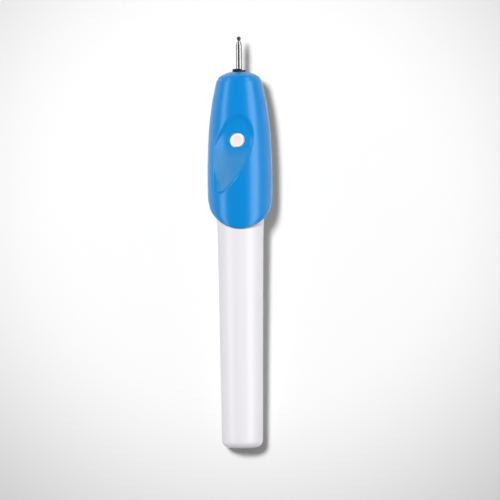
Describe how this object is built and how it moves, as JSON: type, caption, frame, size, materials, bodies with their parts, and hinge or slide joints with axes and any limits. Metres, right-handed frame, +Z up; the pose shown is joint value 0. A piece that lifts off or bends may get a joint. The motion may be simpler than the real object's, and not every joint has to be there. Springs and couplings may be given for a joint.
{
  "type": "battery engraving pen",
  "caption": "Battery engraving pen with a blue grip, a push button in a thumb scoop, a slotted collet with a ball burr, and a white battery barrel that pulls off.",
  "frame": {"origin": "centre of the bounding box's bottom face: the surface the pen lies on", "axes": "+Y along the pen from the barrel's end toward the burr, +Z up from the surface, with the button facing +Z, and +X to the right seen from above with the burr away"},
  "size_m": [0.0258, 0.1634, 0.0234],
  "materials": {
    "blue_grip": "moulded blue plastic, satin gloss",
    "white_barrel": "moulded white plastic, soft gloss",
    "button_white": "moulded white plastic, dished face",
    "black_plastic": "moulded black plastic, fine matt",
    "natural_plastic": "natural white nylon",
    "rubber": "black rubber",
    "bright_steel": "polished steel",
    "grit_steel": "steel ball with bonded grit",
    "zinc_steel": "zinc-plated steel",
    "brass": "bright brass",
    "bronze": "sintered bronze",
    "copper": "copper",
    "ferrite": "dark sintered ferrite",
    "board": "green solder mask",
    "ceramic": "tan ceramic",
    "red_cover": "red wire cover",
    "black_cover": "black wire cover",
    "cell_jacket": "dark printed jacket, plain"
  },
  "bodies": {
    "grip": {"front_shell": "blue_grip", "rear_shell": "blue_grip", "shell_screw_left": "zinc_steel", "shell_screw_right": "zinc_steel", "nose_bush": "bronze", "circuit_board": "board", "switch_case": "black_plastic", "board_capacitor": "ceramic", "contact_carrier": "natural_plastic", "barrel_seal": "rubber", "positive_contact": "brass", "negative_blade": "brass", "lead_red": "red_cover", "lead_black": "black_cover", "motor_can": "zinc_steel", "motor_end_cap": "natural_plastic", "motor_magnet_left": "ferrite", "motor_brush_left": "copper", "motor_magnet_right": "ferrite", "motor_brush_right": "copper", "motor_cushion": "rubber"},
    "spindle": {"motor_shaft": "bright_steel", "commutator": "copper", "armature_core": "zinc_steel", "armature_winding": "copper", "shaft_coupling": "brass", "bit_collet": "black_plastic"},
    "burr": {"burr_shank": "bright_steel", "burr_ball": "grit_steel"},
    "button": {"power_button": "button_white", "switch_plunger": "black_plastic"},
    "barrel": {"battery_barrel": "white_barrel", "spring_plate": "brass", "contact_strip": "brass", "battery_spring": "bright_steel", "lower_cell": "cell_jacket", "upper_cell": "cell_jacket"}
  },
  "joints": [
    {"name": "spindle_spin", "type": "hinge", "parent": "grip", "child": "spindle", "pos_m": [0, 0.0584, 0.0126], "axis": [0, 0.9995, 0.0325], "continuous": true},
    {"name": "burr_pull", "type": "slide", "parent": "spindle", "child": "burr", "axis": [0, 0.9995, 0.0325], "range_m": [0, 0.018]},
    {"name": "button_press", "type": "slide", "parent": "grip", "child": "button", "axis": [0, 0.0325, -0.9995], "range_m": [0, 0.0005], "stiffness_N_per_m": 1500, "springref_m": -0.0005},
    {"name": "barrel_pull", "type": "slide", "parent": "grip", "child": "barrel", "axis": [0, -0.9995, -0.0325], "range_m": [0, 0.025]}
  ]
}
